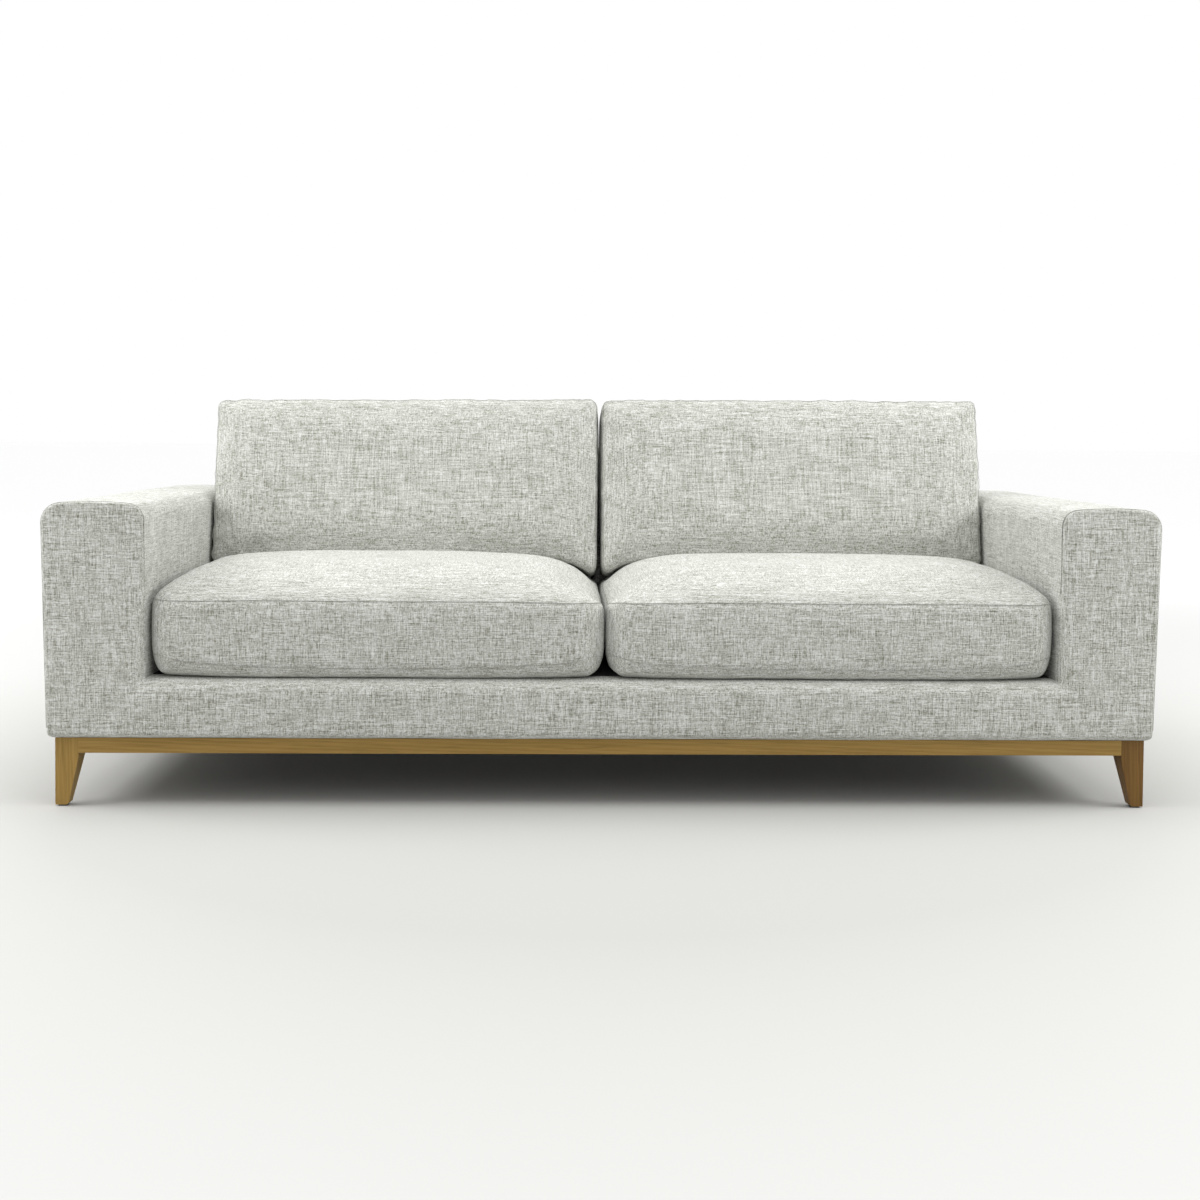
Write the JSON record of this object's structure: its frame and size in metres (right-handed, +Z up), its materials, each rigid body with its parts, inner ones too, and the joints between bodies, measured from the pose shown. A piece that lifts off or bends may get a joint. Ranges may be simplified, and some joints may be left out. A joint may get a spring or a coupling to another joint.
{
  "type": "sofa",
  "caption": "Upholstered sofa with broad arms, loose boxed seat and back cushions, and an oak plinth on tapered oak legs.",
  "frame": {"origin": "centre of the footprint, on the floor", "axes": "+Z up, front faces -Y, X across the width; left is -X, seen from the front"},
  "size_m": [2.2, 0.9, 0.815],
  "materials": {
    "upholstery": "matte",
    "oak": "satin",
    "frame_timber": "matte",
    "hardboard": "matte",
    "black_cloth": "matte",
    "foam": "matte",
    "felt": "matte",
    "webbing": "matte",
    "spring_steel": "satin",
    "zinc_steel": "satin",
    "glide_plastic": "matte",
    "zip_tape": "matte"
  },
  "bodies": {
    "frame": {"leg_front_left": "oak", "leg_front_right": "oak", "leg_rear_left": "oak", "leg_rear_right": "oak", "plinth_rail_front": "oak", "plinth_rail_rear": "oak", "plinth_rail_left": "oak", "plinth_rail_right": "oak", "plinth_dowels": "frame_timber", "leg_blocks": "frame_timber", "corner_blocks": "frame_timber", "seat_rail_front": "frame_timber", "seat_rail_rear": "frame_timber", "seat_cross_rails": "frame_timber", "back_bottom_rail": "frame_timber", "back_top_rail": "frame_timber", "back_ribs": "frame_timber", "arm_frame_left": "frame_timber", "arm_frame_right": "frame_timber", "arm_panels_left": "hardboard", "arm_panels_right": "hardboard", "outside_back_panel": "hardboard", "plinth_screws": "zinc_steel", "leg_bolts": "zinc_steel", "arm_bolts": "zinc_steel", "spring_clips": "zinc_steel", "seat_springs": "spring_steel", "spring_tie_wires": "spring_steel", "floor_glides": "glide_plastic", "deck_felt": "felt", "deck_cloth": "black_cloth", "dust_cover": "black_cloth", "back_webbing": "webbing", "arm_foam_left": "foam", "arm_foam_right": "foam", "front_rail_foam": "foam", "inside_back_foam": "foam", "arm_cover_left": "upholstery", "arm_cover_right": "upholstery", "front_rail_cover": "upholstery", "inside_back_cover": "upholstery", "outside_back_cover": "upholstery"},
    "seat_cushion_left": {"seat_cushion_cover_left": "upholstery", "seat_cushion_core_left": "foam", "seat_zip_left": "zip_tape"},
    "seat_zip_pull_left": {"seat_zip_slider_left": "zinc_steel"},
    "back_cushion_left": {"back_cushion_cover_left": "upholstery", "back_cushion_fill_left": "foam", "back_zip_left": "zip_tape"},
    "back_zip_pull_left": {"back_zip_slider_left": "zinc_steel"},
    "seat_cushion_right": {"seat_cushion_cover_right": "upholstery", "seat_cushion_core_right": "foam", "seat_zip_right": "zip_tape"},
    "seat_zip_pull_right": {"seat_zip_slider_right": "zinc_steel"},
    "back_cushion_right": {"back_cushion_cover_right": "upholstery", "back_cushion_fill_right": "foam", "back_zip_right": "zip_tape"},
    "back_zip_pull_right": {"back_zip_slider_right": "zinc_steel"}
  },
  "joints": [
    {"name": "seat_cushion_left_out", "type": "slide", "parent": "frame", "child": "seat_cushion_left", "axis": [0, -1, 0], "range_m": [0, 0.7]},
    {"name": "seat_zip_left", "type": "slide", "parent": "seat_cushion_left", "child": "seat_zip_pull_left", "axis": [-1, 0, 0], "range_m": [0, 0.67]},
    {"name": "back_cushion_left_up", "type": "slide", "parent": "frame", "child": "back_cushion_left", "axis": [0, 0.1908, 0.9816], "range_m": [0, 0.42]},
    {"name": "back_zip_left", "type": "slide", "parent": "back_cushion_left", "child": "back_zip_pull_left", "axis": [-1, 0, 0], "range_m": [0, 0.67]},
    {"name": "seat_cushion_right_out", "type": "slide", "parent": "frame", "child": "seat_cushion_right", "axis": [0, -1, 0], "range_m": [0, 0.7]},
    {"name": "seat_zip_right", "type": "slide", "parent": "seat_cushion_right", "child": "seat_zip_pull_right", "axis": [1, 0, 0], "range_m": [0, 0.67]},
    {"name": "back_cushion_right_up", "type": "slide", "parent": "frame", "child": "back_cushion_right", "axis": [0, 0.1908, 0.9816], "range_m": [0, 0.42]},
    {"name": "back_zip_right", "type": "slide", "parent": "back_cushion_right", "child": "back_zip_pull_right", "axis": [1, 0, 0], "range_m": [0, 0.67]}
  ]
}
